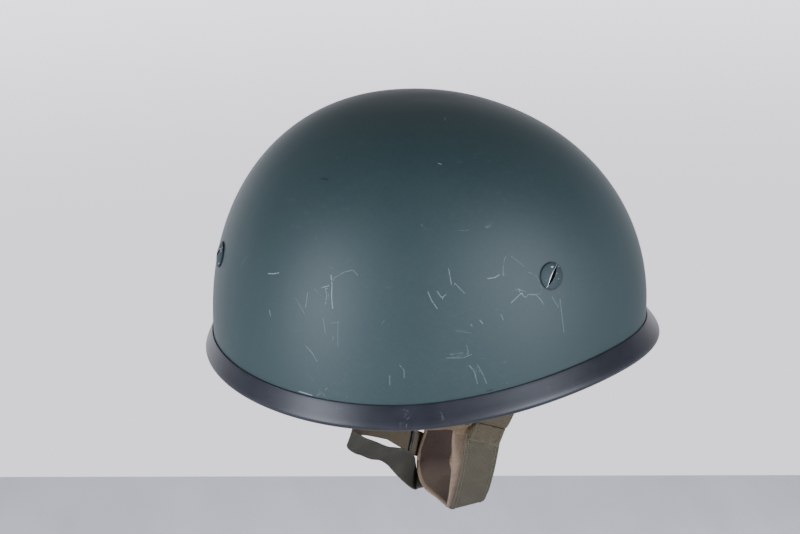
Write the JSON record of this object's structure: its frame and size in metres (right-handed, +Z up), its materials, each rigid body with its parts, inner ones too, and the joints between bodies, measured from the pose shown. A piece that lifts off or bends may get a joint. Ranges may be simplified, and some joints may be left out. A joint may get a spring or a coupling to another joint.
{
  "type": "paratrooper helmet",
  "caption": "Rimless steel paratrooper helmet with a flared rubber edge, slotted liner bolts, a sprung leather liner and a webbing chin and nape harness.",
  "frame": {"origin": "middle of the head opening at half the dome's length, at the height where the rubber edge meets the steel", "axes": "+Z up, the wearer looks along -Y, the wearer's right is -X"},
  "size_m": [0.2418, 0.2819, 0.2764],
  "materials": {
    "shell_paint": "blue-green semi-matt paint, lightly scratched",
    "rubber_edge": "black rubber, faint sheen",
    "plain_steel": "plain sheet steel",
    "leather": "brown leather, worn",
    "suede": "tan leather, dark on its inner face",
    "webbing": "olive woven webbing",
    "foam": "dark grey foam",
    "lace": "pale cotton lace",
    "black_steel": "black lacquered steel"
  },
  "bodies": {
    "helmet": {"steel_shell": "shell_paint", "rim_trim": "rubber_edge", "bolt_right": "shell_paint", "bolt_left": "shell_paint", "bolt_rear": "shell_paint", "bolt_spacers": "plain_steel", "bolt_washers": "plain_steel", "bolt_nuts": "plain_steel", "outer_band": "plain_steel", "inner_band": "plain_steel", "band_springs": "plain_steel", "leather_liner": "leather", "crown_lace": "lace", "crown_pad": "foam", "forehead_pad": "foam", "nape_pad": "foam", "temple_pad_right": "foam", "temple_pad_left": "foam", "front_leg_right": "webbing", "front_leg_left": "webbing", "rear_strap": "webbing", "stud_right": "plain_steel", "stud_left": "plain_steel"},
    "chin_harness": {"chin_strap": "webbing", "chin_lining": "suede", "socket_right": "plain_steel", "socket_left": "plain_steel", "nape_strap": "webbing"},
    "nape_buckle": {"slide_buckle": "black_steel"}
  },
  "joints": [
    {"name": "chin_swing", "type": "hinge", "parent": "helmet", "child": "chin_harness", "pos_m": [0, -0.0135, -0.0395], "axis": [1, 0, 0], "range_deg": [-75, 40]},
    {"name": "buckle_slide", "type": "slide", "parent": "chin_harness", "child": "nape_buckle", "axis": [-0.4063, 0.6338, 0.6582], "range_m": [0, 0.011]}
  ]
}
